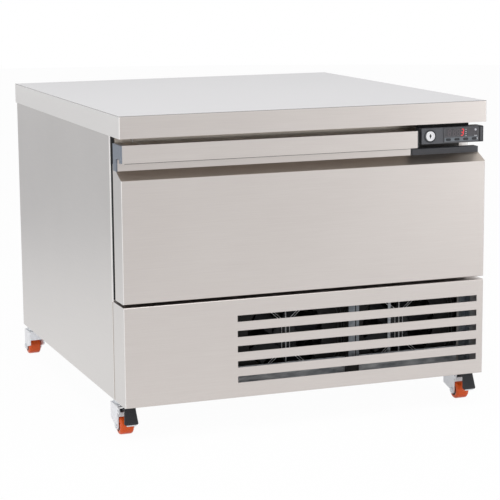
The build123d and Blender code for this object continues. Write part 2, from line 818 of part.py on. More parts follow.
with BuildPart() as inner_runners:
    for side in (-1, 1):
        web, half = runner_members[2]
        slab(sorted((side * inner_web, side * web)), runner_y, (runner_z - half, runner_z + half))
        hollow = sorted((side * (inner_web + runner_sheet), side * web))
        half -= runner_sheet
        slab(hollow, runner_y, (runner_z - half, runner_z + half), mode=Mode.SUBTRACT)
keep(inner_runners, "inner_runners")

# Control box: an open-backed housing on a bracket from the top rail
bezel_x = (control_right - bezel_right - bezel_width, control_right - bezel_right)
bezel_z = (control_bottom + bezel_margin, control_top - bezel_margin)
cutout_x = (bezel_x[0] + controller_step, bezel_x[1] - controller_step)
cutout_z = (bezel_z[0] + controller_step, bezel_z[1] - controller_step)
with BuildPart() as control_housing:
    slab((control_left, control_right), (control_face, control_back), (control_bottom, control_top))
    fillet(control_housing.faces().sort_by(Axis.Y)[0].edges(), control_wall / 2)
    open_back = control_housing.faces().sort_by(Axis.Y)[-1]
    offset(amount=-control_wall, openings=open_back, kind=Kind.INTERSECTION)
    front_wall = (control_face, control_face + 2 * control_wall)
    slab(cutout_x, front_wall, cutout_z, mode=Mode.SUBTRACT)
    rod((lock_x, control_face, lock_z), (0, 1, 0), lock_tube_radius, 2 * control_wall, mode=Mode.SUBTRACT)
keep(control_housing, "control_housing")

bracket_right = rail_half - bracket_inset
bracket_x = (bracket_right - bracket_width, bracket_right)
bracket_top = control_top - control_wall
with BuildPart() as control_bracket:
    slab(bracket_x, (control_back - bracket_overlap, rail_y[0]), (bracket_top - bracket_sheet, bracket_top))
    slab(bracket_x, (rail_y[0] - bracket_sheet, rail_y[0]), (bracket_top - bracket_drop, bracket_top))
keep(control_bracket, "control_bracket")

# Controller: bezel and case, display window and the four keys
bezel_face = control_face - bezel_thickness
button_z = control_bottom + button_level
button_row = [sum(bezel_x) / 2 + button_pitch * (i - (button_count - 1) / 2) for i in range(button_count)]
window_x = (bezel_x[0] + window_margin, bezel_x[1] - window_margin)
window_z = (bezel_z[1] - window_margin / 2 - window_height, bezel_z[1] - window_margin / 2)
key_half_x = button_width / 2 + button_fit
key_half_z = button_height / 2 + button_fit
flange_half_x = button_width / 2 + button_flange
flange_half_z = button_height / 2 + button_flange
with BuildPart() as controller_body:
    slab(bezel_x, (bezel_face, control_face), bezel_z)
    fillet(controller_body.edges().filter_by(Axis.Y), 2 * bezel_thickness)
    case_x = (cutout_x[0] + case_fit, cutout_x[1] - case_fit)
    case_z = (cutout_z[0] + case_fit, cutout_z[1] - case_fit)
    slab(case_x, (control_face, control_face + controller_depth), case_z)
    slab(window_x, (bezel_face, bezel_face + window_thickness), window_z, mode=Mode.SUBTRACT)
    pocket_x = (button_row[0] - flange_half_x - button_stop, button_row[-1] + flange_half_x + button_stop)
    pocket_z = (button_z - flange_half_z - button_stop, button_z + flange_half_z + button_stop)
    slab(pocket_x, (control_face, control_face + button_pocket), pocket_z, mode=Mode.SUBTRACT)
    for x in button_row:
        hole_x = (x - key_half_x, x + key_half_x)
        hole_z = (button_z - key_half_z, button_z + key_half_z)
        slab(hole_x, (bezel_face, control_face), hole_z, mode=Mode.SUBTRACT)
keep(controller_body, "controller_body")

with BuildPart() as display_window:
    glass_x = (window_x[0] + window_fit, window_x[1] - window_fit)
    glass_z = (window_z[0] + window_fit, window_z[1] - window_fit)
    slab(glass_x, (bezel_face, bezel_face + window_thickness), glass_z)
keep(display_window, "display_window")

for index, x in enumerate(button_row, start=1):
    with BuildPart() as key:
        head_y = (bezel_face - button_rise, control_face + button_stop)
        half_x = button_width / 2
        half_z = button_height / 2
        slab((x - half_x, x + half_x), head_y, (button_z - half_z, button_z + half_z))
        fillet(key.faces().sort_by(Axis.Y)[0].edges(), button_rise / 2)
        flange_y = (control_face + button_stop, control_face + button_stop + button_flange)
        flange_z = (button_z - flange_half_z, button_z + flange_half_z)
        slab((x - flange_half_x, x + flange_half_x), flange_y, flange_z)
    keep(key, f"controller_key_{index}")

# Key lock: fixed body with its clamp nut, and the barrel that turns the cam
lock_back = front_y + lock_length
with BuildPart() as lock_body:
    rod((lock_x, front_y, lock_z), (0, 1, 0), lock_ring_radius, control_recess)
    fillet(lock_body.faces().sort_by(Axis.Y)[0].edges(), control_recess / 3)
    rod((lock_x, control_face, lock_z), (0, 1, 0), lock_tube_radius, lock_back - control_face)
    nut_y = control_face + control_wall
    rod((lock_x, nut_y, lock_z), (0, 1, 0), lock_nut_radius, lock_nut_thickness)
    barrel_bore = lock_barrel_radius + lock_fit
    rod((lock_x, front_y, lock_z), (0, 1, 0), barrel_bore, lock_length, mode=Mode.SUBTRACT)
keep(lock_body, "lock_body")

with BuildPart() as lock_barrel:
    barrel_face = front_y + control_recess / 4
    rod((lock_x, barrel_face, lock_z), (0, 1, 0), lock_barrel_radius, lock_back - barrel_face)
    rod((lock_x, lock_back, lock_z), (0, 1, 0), cam_neck_radius, cam_neck_length)
    cam_y = lock_back + cam_neck_length
    with BuildSketch(Plane.XZ.offset(-cam_y)):
        with Locations((lock_x + (cam_length - cam_width / 2) / 2, lock_z)):
            SlotCenterToCenter(cam_length - cam_width / 2, cam_width)
    extrude(amount=-cam_thickness)
    keyhole_x = (lock_x - keyhole_width / 2, lock_x + keyhole_width / 2)
    keyhole_z = (lock_z - keyhole_height / 2, lock_z + keyhole_height / 2)
    slab(keyhole_x, (barrel_face, barrel_face + keyhole_depth), keyhole_z, mode=Mode.SUBTRACT)
keep(lock_barrel, "lock_barrel")

# Castors: stems and swivel heads in the base tray, forks, axles, wheels, and two brake pedals
fork_inner = wheel_width / 2 + fork_side_gap
fork_outer = fork_inner + fork_sheet
crown_top = castor_height - stem_plate - race_height - fork_head_gap
crown_bottom = crown_top - fork_sheet
with BuildPart() as castor_stems:
    for x, y in swivels:
        rod((x, y, castor_height), (0, 0, 1), stem_radius, stem_length)
        rod((x, y, castor_height), (0, 0, -1), stem_plate_radius, stem_plate)
        rod((x, y, castor_height - stem_plate), (0, 0, -1), race_radius, race_height)
        race_bottom = castor_height - stem_plate - race_height
        pin_end = crown_bottom - fork_head_gap - kingpin_head
        rod((x, y, race_bottom), (0, 0, -1), kingpin_radius, race_bottom - pin_end)
        rod((x, y, pin_end), (0, 0, 1), kingpin_head_radius, kingpin_head)
keep(castor_stems, "castor_stems")

top_half = pedal_top_width / 2
toe_half = pedal_width / 2
pedal_reach = max(reach for reach, level in pedal_outline)
pedal_bottom = min(level for reach, level in pedal_outline)
pedal_top = max(level for reach, level in pedal_outline)
castors = (
    ("front_left", -swivel_x, front_swivel_y, -1),
    ("front_right", swivel_x, front_swivel_y, -1),
    ("rear_left", -swivel_x, rear_swivel_y, 1),
    ("rear_right", swivel_x, rear_swivel_y, 1),
)
for name, x, y, heading in castors:
    braked = heading < 0
    axle_y = y + heading * castor_trail
    with BuildPart() as fork:
        for plate_x in (x - fork_outer, x + fork_inner):
            with BuildSketch(Plane(origin=(plate_x, y, 0), x_dir=(0, 1, 0), z_dir=(1, 0, 0))):
                with BuildLine():
                    toe = heading * castor_trail
                    Polyline(
                        (toe - heading * fork_end_radius, wheel_radius),
                        (-heading * fork_back, fork_shoulder),
                        (-heading * fork_back, crown_top),
                        (heading * fork_front, crown_top),
                        (toe + heading * fork_end_radius, wheel_radius),
                    )
                    ThreePointArc(
                        (toe + heading * fork_end_radius, wheel_radius),
                        (toe, wheel_radius - fork_end_radius),
                        (toe - heading * fork_end_radius, wheel_radius),
                    )
                make_face()
                if braked:
                    with Locations((heading * (fork_front + ear_reach) / 2, (ear_bottom + ear_top) / 2)):
                        Rectangle(ear_reach - fork_front, ear_top - ear_bottom)
            extrude(amount=fork_sheet)
        crown_y = sorted((y + heading * fork_front, y - heading * fork_back))
        slab((x - fork_inner, x + fork_inner), crown_y, (crown_bottom, crown_top))
        if braked:
            hood_y = sorted((y + heading * fork_front, y + heading * (fork_front - fork_sheet)))
            slab((x - fork_inner, x + fork_inner), hood_y, (hood_bottom, hood_top))
        else:
            hood_y = sorted((y - heading * fork_back, y - heading * (fork_back - fork_sheet)))
            slab((x - fork_inner, x + fork_inner), hood_y, (rear_hood_bottom, crown_bottom))
        rod((x, y, crown_bottom), (0, 0, 1), kingpin_radius + axle_fit, fork_sheet, mode=Mode.SUBTRACT)
        axle_start = (x - fork_outer, axle_y, wheel_radius)
        rod(axle_start, (1, 0, 0), axle_radius + axle_fit, 2 * fork_outer, mode=Mode.SUBTRACT)
        if braked:
            pin_start = (x - fork_outer, y + heading * pedal_pivot_reach, pedal_pivot_level)
            rod(pin_start, (1, 0, 0), pedal_pin_radius + axle_fit, 2 * fork_outer, mode=Mode.SUBTRACT)
    keep(fork, f"castor_fork_{name}")

    with BuildPart() as axle:
        axle_half = fork_outer + axle_head
        rod((x - axle_half, axle_y, wheel_radius), (1, 0, 0), axle_radius, 2 * axle_half)
        for head_start in (x - fork_outer - axle_head, x + fork_outer):
            with BuildSketch(Plane(origin=(head_start, axle_y, wheel_radius), z_dir=(1, 0, 0))):
                RegularPolygon(axle_head_radius, 6)
            extrude(amount=axle_head)
    keep(axle, f"castor_axle_{name}")

    with BuildPart() as wheel:
        wheel_start = (x - wheel_width / 2, axle_y, wheel_radius)
        rod(wheel_start, (1, 0, 0), wheel_radius, wheel_width)
        fillet(wheel.edges().filter_by(GeomType.CIRCLE), wheel_corner)
        for dish_x in (x - wheel_width / 2, x + wheel_width / 2 - wheel_dish):
            dish_start = (dish_x, axle_y, wheel_radius)
            rod(dish_start, (1, 0, 0), wheel_dish_radius, wheel_dish, mode=Mode.SUBTRACT)
        rod(wheel_start, (1, 0, 0), 2 * axle_radius, wheel_width)
        rod(wheel_start, (1, 0, 0), axle_radius + axle_fit, wheel_width, mode=Mode.SUBTRACT)
    keep(wheel, f"castor_wheel_{name}")

    if braked:
        pivot_y = y + heading * pedal_pivot_reach
        pedal_half = fork_inner - pedal_side_gap
        with BuildPart() as pedal:
            with BuildSketch(Plane(origin=(x, y, 0), x_dir=(0, 1, 0), z_dir=(1, 0, 0))):
                with BuildLine():
                    Polyline(*[(heading * reach, level) for reach, level in pedal_outline], close=True)
                make_face()
            extrude(amount=toe_half, both=True)
            with BuildSketch(Plane(origin=(x, y, 0), x_dir=(1, 0, 0), z_dir=(0, -1, 0))):
                with BuildLine():
                    Polyline(
                        (-top_half, castor_height),
                        (top_half, castor_height),
                        (top_half, pedal_top - pedal_corner),
                        (toe_half, pedal_bottom + pedal_corner),
                        (toe_half - pedal_corner, pedal_bottom),
                        (pedal_corner - toe_half, pedal_bottom),
                        (-toe_half, pedal_bottom + pedal_corner),
                        (-top_half, pedal_top - pedal_corner),
                        close=True,
                    )
                make_face()
            extrude(amount=2 * pedal_reach, mode=Mode.INTERSECT)
            rod((x - pedal_half, pivot_y, pedal_pivot_level), (1, 0, 0), pedal_hub_radius, 2 * pedal_half)
            pin_start = (x - fork_outer + pedal_side_gap, pivot_y, pedal_pivot_level)
            rod(pin_start, (1, 0, 0), pedal_pin_radius, 2 * (fork_outer - pedal_side_gap))
        keep(pedal, f"brake_pedal_{name}")
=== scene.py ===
import bpy
import bmesh
import math
from mathutils import Matrix, Vector


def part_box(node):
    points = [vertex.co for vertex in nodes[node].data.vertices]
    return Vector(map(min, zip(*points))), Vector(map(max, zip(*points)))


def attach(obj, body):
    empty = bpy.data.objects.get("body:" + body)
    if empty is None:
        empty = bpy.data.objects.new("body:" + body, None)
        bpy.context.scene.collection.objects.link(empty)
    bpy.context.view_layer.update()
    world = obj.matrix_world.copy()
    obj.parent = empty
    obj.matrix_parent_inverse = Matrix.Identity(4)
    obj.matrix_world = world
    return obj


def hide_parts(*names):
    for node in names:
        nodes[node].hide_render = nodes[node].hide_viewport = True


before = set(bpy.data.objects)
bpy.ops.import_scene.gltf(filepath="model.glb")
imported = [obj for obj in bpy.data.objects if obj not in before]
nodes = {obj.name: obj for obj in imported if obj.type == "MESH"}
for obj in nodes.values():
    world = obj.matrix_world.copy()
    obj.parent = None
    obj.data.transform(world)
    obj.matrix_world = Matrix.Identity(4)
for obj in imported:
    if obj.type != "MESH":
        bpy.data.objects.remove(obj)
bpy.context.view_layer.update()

# The camera stands to the left of the counter and a little above it, as in the photograph.
# Its place and turn were solved from the counter's corners, with the centre in the middle.
camera_place = (-1.2332, -3.3603, 0.8955)
camera_turn, camera_tilt, camera_roll = 0.3592, -0.1746, -0.0079
sensor_mm, lens_mm = 36.0, 128.2
ahead = Vector((
    math.sin(camera_turn) * math.cos(camera_tilt),
    math.cos(camera_turn) * math.cos(camera_tilt),
    math.sin(camera_tilt),
))
level = Vector((math.cos(camera_turn), -math.sin(camera_turn), 0.0))
above = level.cross(ahead)
right = level * math.cos(camera_roll) + above * math.sin(camera_roll)
up = above * math.cos(camera_roll) - level * math.sin(camera_roll)
camera = bpy.data.objects.new("camera", bpy.data.cameras.new("camera"))
bpy.context.scene.collection.objects.link(camera)
camera.matrix_world = Matrix.Translation(camera_place) @ Matrix((
    (right.x, up.x, -ahead.x, 0.0),
    (right.y, up.y, -ahead.y, 0.0),
    (right.z, up.z, -ahead.z, 0.0),
    (0.0, 0.0, 0.0, 1.0),
))
camera.data.sensor_width = sensor_mm
camera.data.lens = lens_mm
camera.data.clip_end = 60.0
bpy.context.scene.camera = camera


# The studio: a white surround and a pale floor with painted pools of light, seen only in
# reflections, beside the counter's left foot and at the right front, an overhead softbox, a softbox
# at the right front for the brushed front, a tall narrow one at the left for the upright folds, and
# a wide one behind for the worktop.
def linear(code):
    """Turn an sRGB hex colour into linear red, green, blue and alpha."""
    channels = [int(code[i:i + 2], 16) / 255 for i in (0, 2, 4)]
    return [c / 12.92 if c <= 0.04045 else ((c + 0.055) / 1.055) ** 2.4 for c in channels] + [1.0]


def add(tree, kind, links=None, **settings):
    """Add a shader node, set its properties and sockets, and link its inputs."""
    made = tree.nodes.new("ShaderNode" + kind)
    for name, value in settings.items():
        if hasattr(made, name):
            setattr(made, name, value)
        else:
            made.inputs[name.replace("_", " ")].default_value = value
    for name, source in (links or {}).items():
        tree.links.new(source, made.inputs[name])
    return made


def background_share(tree, eye_share, gloss_share):
    """Give one share for rays from the eye and another for rays from a gloss or through glass."""
    path = add(tree, "LightPath")
    either = {0: path.outputs["Is Glossy Ray"], 1: path.outputs["Is Transmission Ray"]}
    gloss = add(tree, "Math", either, operation="MAXIMUM")
    gloss_part = add(tree, "Math", {0: gloss.outputs[0], 1: gloss_share}, operation="MULTIPLY")
    eye_part = add(tree, "Math", {0: path.outputs["Is Camera Ray"]}, operation="MULTIPLY")
    eye_part.inputs[1].default_value = eye_share
    larger = {0: gloss_part.outputs[0], 1: eye_part.outputs[0]}
    return add(tree, "Math", larger, operation="MAXIMUM").outputs[0]


surround_seen, surround_gloss, surround_light = 1.0, 0.95, 0.5
surround = bpy.data.worlds.new("white surround")
surround.use_nodes = True
tree = surround.node_tree
tree.nodes.clear()
seen = add(tree, "Background", Color=linear("FFFFFF"), Strength=1.0)
lit = add(tree, "Background", Color=linear("FBFCFF"), Strength=surround_light)
whole = add(tree, "Value")
whole.outputs[0].default_value = surround_gloss
share = background_share(tree, surround_seen, whole.outputs[0])
mixed = add(tree, "MixShader", {0: share, 1: lit.outputs[0], 2: seen.outputs[0]})
add(tree, "OutputWorld", {"Surface": mixed.outputs[0]})
bpy.context.scene.world = surround

floor_radius, floor_seen, floor_far_gloss = 9.0, 0.965, 0.3
# Each painted light pool's centre, near and far reach in metres, and brightness in reflections
painted_light_pools = (
    ((-0.55, 0.25, 0.0), (0.2, 1.9), 1.0),
    ((1.2, -2.1, 0.0), (0.4, 1.5), 0.85),
)
floor_mesh = bpy.data.meshes.new("floor")
shape = bmesh.new()
bmesh.ops.create_circle(shape, cap_ends=True, segments=96, radius=floor_radius)
shape.to_mesh(floor_mesh)
shape.free()
floor = bpy.data.objects.new("floor", floor_mesh)
bpy.context.scene.collection.objects.link(floor)
paper = bpy.data.materials.new("matt white studio paper")
paper.use_nodes = True
tree = paper.node_tree
tree.nodes.clear()
coords = add(tree, "TexCoord")
fibre = add(tree, "TexNoise", {"Vector": coords.outputs["Object"]}, Scale=900.0, Detail=3.0)
tint = add(tree, "ValToRGB", {"Fac": fibre.outputs[0]})
tint.color_ramp.elements[0].color = linear("F4F4F4")
tint.color_ramp.elements[1].color = linear("FCFCFC")
matt = add(tree, "BsdfDiffuse", {"Color": tint.outputs[0]})
glow = add(tree, "Emission", Color=linear("FFFFFF"), Strength=1.0)
pools = []
for centre, reach, brightness in painted_light_pools:
    away = add(tree, "VectorMath", {0: coords.outputs["Object"]}, operation="DISTANCE")
    away.inputs[1].default_value = centre
    pools.append(add(
        tree, "MapRange", {0: away.outputs["Value"]},
        From_Min=reach[0], From_Max=reach[1], To_Min=brightness, To_Max=floor_far_gloss,
    ))
fade = add(tree, "Math", {0: pools[0].outputs[0], 1: pools[1].outputs[0]}, operation="MAXIMUM")
share = background_share(tree, floor_seen, fade.outputs[0])
mixed = add(tree, "MixShader", {0: share, 1: matt.outputs[0], 2: glow.outputs[0]})
add(tree, "OutputMaterial", {"Surface": mixed.outputs[0]})
floor_mesh.materials.append(paper)

# Each lamp's name, place, target, width and height in metres, and power in watts
softboxes = (
    ("overhead softbox", (-0.15, -0.9, 2.5), (0.0, -0.2, 0.3), 2.2, 2.2, 34.0),
    ("right softbox", (2.4, -2.6, 0.6), (0.3, -0.3, 0.25), 1.4, 1.3, 9.5),
    ("left strip", (-1.9, -1.25, 0.8), (-0.36, -0.36, 0.45), 0.3, 1.4, 3.2),
    ("back softbox", (0.3, 1.3, 1.2), (0.05, 0.3, 0.58), 2.2, 0.6, 1.9),
)
for name, place, target, width, height, power in softboxes:
    lamp = bpy.data.lights.new(name, "AREA")
    lamp.shape = "RECTANGLE"
    lamp.size, lamp.size_y, lamp.energy = width, height, power
    stand = bpy.data.objects.new(name, lamp)
    bpy.context.scene.collection.objects.link(stand)
    stand.location = place
    stand.rotation_euler = (Vector(target) - Vector(place)).to_track_quat("-Z", "Y").to_euler()
bpy.context.scene.view_settings.view_transform = "Standard"


# Stainless steel sheet, rolled and then brushed along its length: the side panels, the drawer
# front, the handle, the slotted front panel and the worktop's folded edges. The belt leaves
# scratches about 0.1 mm wide; they are drawn 0.5 mm wide so that they show.
brush_mm = (60.0, 60.0, 0.5)
# How much of a face's normal lies along an axis
straight_on, mostly, sideways, slightly = 0.95, 0.9, 0.35, 0.1


def pattern_material(
    name, grain_mm, colours, rough, bump_mm, kind="TexNoise", channel=0, cloud=0.5, **shader
):
    """Make a material whose colour, roughness and relief follow one pattern of a real size."""
    made = bpy.data.materials.new(name)
    made.use_nodes = True
    tree = made.node_tree
    tree.nodes.clear()
    coords = add(tree, "TexCoord")
    grain = [1000.0 / size for size in grain_mm]
    mapping = add(tree, "Mapping", {"Vector": coords.outputs["Object"]}, Scale=grain)
    pattern = add(tree, kind, {"Vector": mapping.outputs[0]}, Scale=1.0)
    if kind == "TexNoise":
        pattern.inputs["Detail"].default_value = 3.0
    soft = add(tree, "TexNoise", {"Vector": coords.outputs["Object"]}, Scale=6.0, Detail=2.0)
    value = pattern.outputs[channel]
    blend = add(tree, "Math", {0: soft.outputs[0], 2: value}, operation="MULTIPLY_ADD")
    blend.inputs[1].default_value = cloud
    low, high = 0.3 + 0.35 * cloud, min(0.7 + 0.65 * cloud, 1.0)
    tint = add(tree, "ValToRGB", {"Fac": blend.outputs[0]})
    for stop, place, colour in zip(tint.color_ramp.elements, (low, high), colours):
        stop.position = place
        stop.color = linear(colour)
    dull = add(
        tree, "MapRange", {"Value": blend.outputs[0]},
        From_Min=low, From_Max=high, To_Min=rough[0], To_Max=rough[1],
    )
    relief = add(tree, "Bump", {"Height": value}, Strength=1.0, Distance=bump_mm / 1000.0)
    links = {
        "Base Color": tint.outputs[0], "Roughness": dull.outputs[0], "Normal": relief.outputs[0],
    }
    body = add(tree, "BsdfPrincipled", links, **shader)
    add(tree, "OutputMaterial", {"Surface": body.outputs[0]})
    return made


def dress(material, *names):
    """Give carried-over pieces one material."""
    for name in names:
        data = nodes[name].data
        data.materials.clear()
        data.materials.append(material)


def dress_faces(material, name, wanted):
    """Give the faces of a carried-over piece that meet a condition another material."""
    data = nodes[name].data
    data.materials.append(material)
    index = len(data.materials) - 1
    for face in data.polygons:
        if wanted(face):
            face.material_index = index


steel = pattern_material(
    "brushed stainless steel",
    brush_mm, ("CDC6C2", "D3CDC9"), (0.32, 0.37), 0.001, cloud=0.3, Metallic=1.0,
)
dress(steel, "drawer_skin", "handle_profile", "lower_front_panel", "drawer_inner_panel", "worktop")

# Side panels: the same brushed sheet, cut from another coil that is a little cooler in colour,
# brushed from front to back. Its folds at the front carry a painted highlight.
side_steel = pattern_material(
    "brushed stainless steel, side sheet",
    brush_mm, ("CDCAC8", "D6D3D1"), (0.3, 0.38), 0.002, cloud=0.3, Metallic=1.0,
)
dress(side_steel, "left_side_panel", "right_side_panel")

# Worktop: its upper face is brushed from left to right, its two end edges carry a painted
# highlight that makes them brighter than the front, and painted shade makes the folds round the
# upper face a thin dark line. The same painted highlight lies on the left edges of the drawer
# front and the slotted panel and on the side panel's front fold.
steel_top = pattern_material(
    "brushed stainless steel, worktop face",
    (60.0, 0.5, 60.0), ("B3B2B4", "BCBBBD"), (0.3, 0.38), 0.002, cloud=0.3, Metallic=1.0,
)
painted_highlight_steel = pattern_material(
    "polished stainless steel, worktop ends and folds",
    brush_mm, ("F2EFEC", "F4F2F0"), (0.28, 0.3), 0.0001, cloud=0.3, Metallic=0.6,
)
fold_painted_shade = pattern_material(
    "stainless steel with painted shade at a tight fold",
    (60.0, 60.0, 1.0), ("5A5958", "686766"), (0.35, 0.45), 0.002, cloud=0.3, Metallic=1.0,
)
dress_faces(
    painted_highlight_steel, "worktop",
    lambda face: abs(face.normal.x) > sideways and abs(face.normal.z) < 0.5,
)
dress_faces(steel_top, "worktop", lambda face: face.normal.z > straight_on)
dress_faces(fold_painted_shade, "worktop", lambda face: slightly < face.normal.z <= straight_on)
dress_faces(painted_highlight_steel, "left_side_panel", lambda face: face.normal.y < -0.2)
for name in ("lower_front_panel", "drawer_skin"):
    dress_faces(painted_highlight_steel, name, lambda face: -straight_on < face.normal.x < -sideways)
    dress_faces(side_steel, name, lambda face: face.normal.x <= -straight_on)

# Drawer front: its bevelled upper edge lies in the handle's shade, painted into the sheet as a
# darker, browner steel.
bevel_painted_shade = pattern_material(
    "brushed stainless steel with painted shade, bevel",
    brush_mm, ("B0A69C", "BBB2A9"), (0.35, 0.45), 0.002, cloud=0.3, Metallic=1.0,
)
dress_faces(
    bevel_painted_shade, "drawer_skin",
    lambda face: slightly < face.normal.z < straight_on and face.normal.y < -slightly,
)

# Front frame, behind the drawer: the same sheet darkened with painted shade, which keeps the gap
# under the control box dark.
frame_painted_shade = pattern_material(
    "frame sheet darkened with painted shade",
    (1.5, 1.5, 1.5), ("3A3734", "46433F"), (0.45, 0.6), 0.01, IOR=1.5,
)
dress(frame_painted_shade, "front_frame")

# Deep-drawn stainless of the drawer tub and the cavity liner: a dull mill finish with a fine
# even grain and no brushing lines.
drawn_steel = pattern_material(
    "drawn stainless steel, mill finish",
    (2.0, 2.0, 2.0), ("BEBFC0", "CFCFD0"), (0.24, 0.36), 0.004, Metallic=1.0,
)
dress(drawn_steel, "drawer_tub", "cabinet_liner")

# Galvanised sheet of the drawer cradle, the rear panels and the control bracket: zinc crystals
# about 6 mm across, each a slightly different blue-grey.
galvanised = pattern_material(
    "galvanised steel sheet",
    (6.0, 6.0, 6.0), ("8C9299", "A2A8AF"), (0.38, 0.55), 0.01,
    kind="TexVoronoi", channel=1, Metallic=1.0,
)
dress(galvanised, "rear_panel", "rear_grille", "drawer_frame", "control_bracket")

# Bright zinc plating on the runners and the castors' stems and axles: smooth, faintly blue, with
# a soft ripple from the barrel plating. The castor forks are brighter, almost white.
zinc = pattern_material(
    "bright zinc plating",
    (3.0, 3.0, 3.0), ("C4C8CC", "E2E4E6"), (0.2, 0.34), 0.01, Metallic=1.0,
)
white_zinc = pattern_material(
    "white zinc plating of the forks",
    (3.0, 3.0, 3.0), ("F0F1F4", "FBFBFD"), (0.3, 0.42), 0.01, Metallic=0.35,
)
castors = ("front_left", "front_right", "rear_left", "rear_right")
dress(zinc, "outer_runners", "middle_runners", "inner_runners", "castor_stems")
for corner in castors:
    dress(white_zinc, f"castor_fork_{corner}")
    dress(zinc, f"castor_axle_{corner}")

# Foam poured between the sheets, and the board glued under the worktop: both are hidden, the
# foam closed-celled and cream, the board with 3 mm particles.
foam = pattern_material(
    "rigid polyurethane foam",
    (1.5, 1.5, 1.5), ("D6C48C", "EADFB4"), (0.85, 0.95), 0.2,
)
board = pattern_material(
    "particle board",
    (3.0, 3.0, 3.0), ("9A7A52", "C6A878"), (0.7, 0.85), 0.1,
)
dress(foam, "cabinet_insulation", "drawer_foam")
dress(board, "worktop_core")

# Moulded plastics: the speckled dark grey control housing and insert strip, the blue-grey end
# caps of the handle, of which the right one is painted satin black as shade, and the satin black
# of keys, evaporation tray, cable gland and rotors.
dark_plastic = pattern_material(
    "textured dark grey ABS",
    (0.9, 0.9, 0.9), ("45464B", "68696D"), (0.5, 0.62), 0.05, cloud=0.1, IOR=1.5,
)
cap_plastic = pattern_material(
    "moulded blue-grey ABS",
    (0.8, 0.8, 0.8), ("757D89", "858D98"), (0.42, 0.5), 0.02, cloud=0.1, IOR=1.5,
)
black_plastic = pattern_material(
    "satin black nylon",
    (0.7, 0.7, 0.7), ("1B1C20", "282A2F"), (0.38, 0.5), 0.02, cloud=0.2, IOR=1.53,
)
dress(dark_plastic, "control_housing", "insert_strip")
dress(cap_plastic, "handle_end_caps")
# The right end cap takes satin black as painted shade.
cap_split_x = 0.2
dress_faces(black_plastic, "handle_end_caps", lambda face: face.center.x > cap_split_x)
dress_faces(black_plastic, "insert_strip", lambda face: face.normal.x < -mostly)
dress(black_plastic, "cable_gland", "evaporation_tray", "left_fan_rotor", "right_fan_rotor")


# Housing: its right end is a grip with seven fine ribs inside a black rim, and a wide black seam
# runs down the front where the grip is clipped on. A black strip over its back edge fills the gap
# under the worktop with painted shade.
def link_piece(name, shape, material, body, smooth_deg=30.0):
    """Turn a bmesh into a piece that rides on a body."""
    data = bpy.data.meshes.new(name)
    bmesh.ops.recalc_face_normals(shape, faces=shape.faces)
    shape.to_mesh(data)
    shape.free()
    data.materials.append(material)
    for face in data.polygons:
        face.use_smooth = True
    data.set_sharp_from_angle(angle=math.radians(smooth_deg))
    piece = bpy.data.objects.new(name, data)
    bpy.context.scene.collection.objects.link(piece)
    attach(piece, body)
    return piece


def add_bar(shape, low, high, edge=0.0):
    """Add a bar between two corners, in metres, with rounded edges if a radius is given."""
    size = [b - a for a, b in zip(low, high)]
    middle = [(a + b) / 2 for a, b in zip(low, high)]
    place = Matrix.Translation(middle) @ Matrix.Diagonal((*size, 1.0))
    corners = bmesh.ops.create_cube(shape, size=1.0, matrix=place)["verts"]
    if edge:
        edges = list({e for v in corners for e in v.link_edges})
        bmesh.ops.bevel(shape, geom=edges, offset=edge, segments=2, affect="EDGES", profile=0.5)


def add_turned(shape, centre, axis, outline, steps):
    """Add a solid turned about an axis from (distance along it, radius) points, both in metres."""
    turn = Vector(axis).normalized().to_track_quat("Z", "Y").to_matrix()
    rings = []
    for along, radius in outline:
        if radius < 1e-6:
            rings.append([shape.verts.new(Vector(centre) + turn @ Vector((0.0, 0.0, along)))])
            continue
        ring = []
        for step in range(steps):
            angle = 2 * math.pi * step / steps
            point = Vector((radius * math.cos(angle), radius * math.sin(angle), along))
            ring.append(shape.verts.new(Vector(centre) + turn @ point))
        rings.append(ring)
    for one, two in zip(rings, rings[1:]):
        for step in range(steps):
            after = (step + 1) % steps
            corners = (
                one[step % len(one)], one[after % len(one)],
                two[after % len(two)], two[step % len(two)],
            )
            unique = list(dict.fromkeys(corners))
            if len(unique) > 2:
                shape.faces.new(unique)


mm = 0.001
fine_edge = 0.2 * mm
housing_low, housing_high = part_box("control_housing")
seam_x = (344.6 * mm, 348.2 * mm)
rim, proud, sunk = 1.4 * mm, 0.8 * mm, 0.3 * mm
seam = bmesh.new()
rim_low = (seam_x[0], housing_low.y - proud, housing_low.z + sunk)
rim_high = (housing_high.x + sunk, housing_low.y + sunk, housing_high.z - sunk)
add_bar(seam, rim_low, (seam_x[1], rim_high[1], rim_high[2]), fine_edge)
add_bar(seam, (rim_high[0] - rim, rim_low[1], rim_low[2]), rim_high, fine_edge)
for z in (rim_low[2], rim_high[2] - rim):
    low = (seam_x[1], rim_low[1], z)
    add_bar(seam, low, (rim_high[0] - rim, rim_high[1], z + rim), fine_edge)
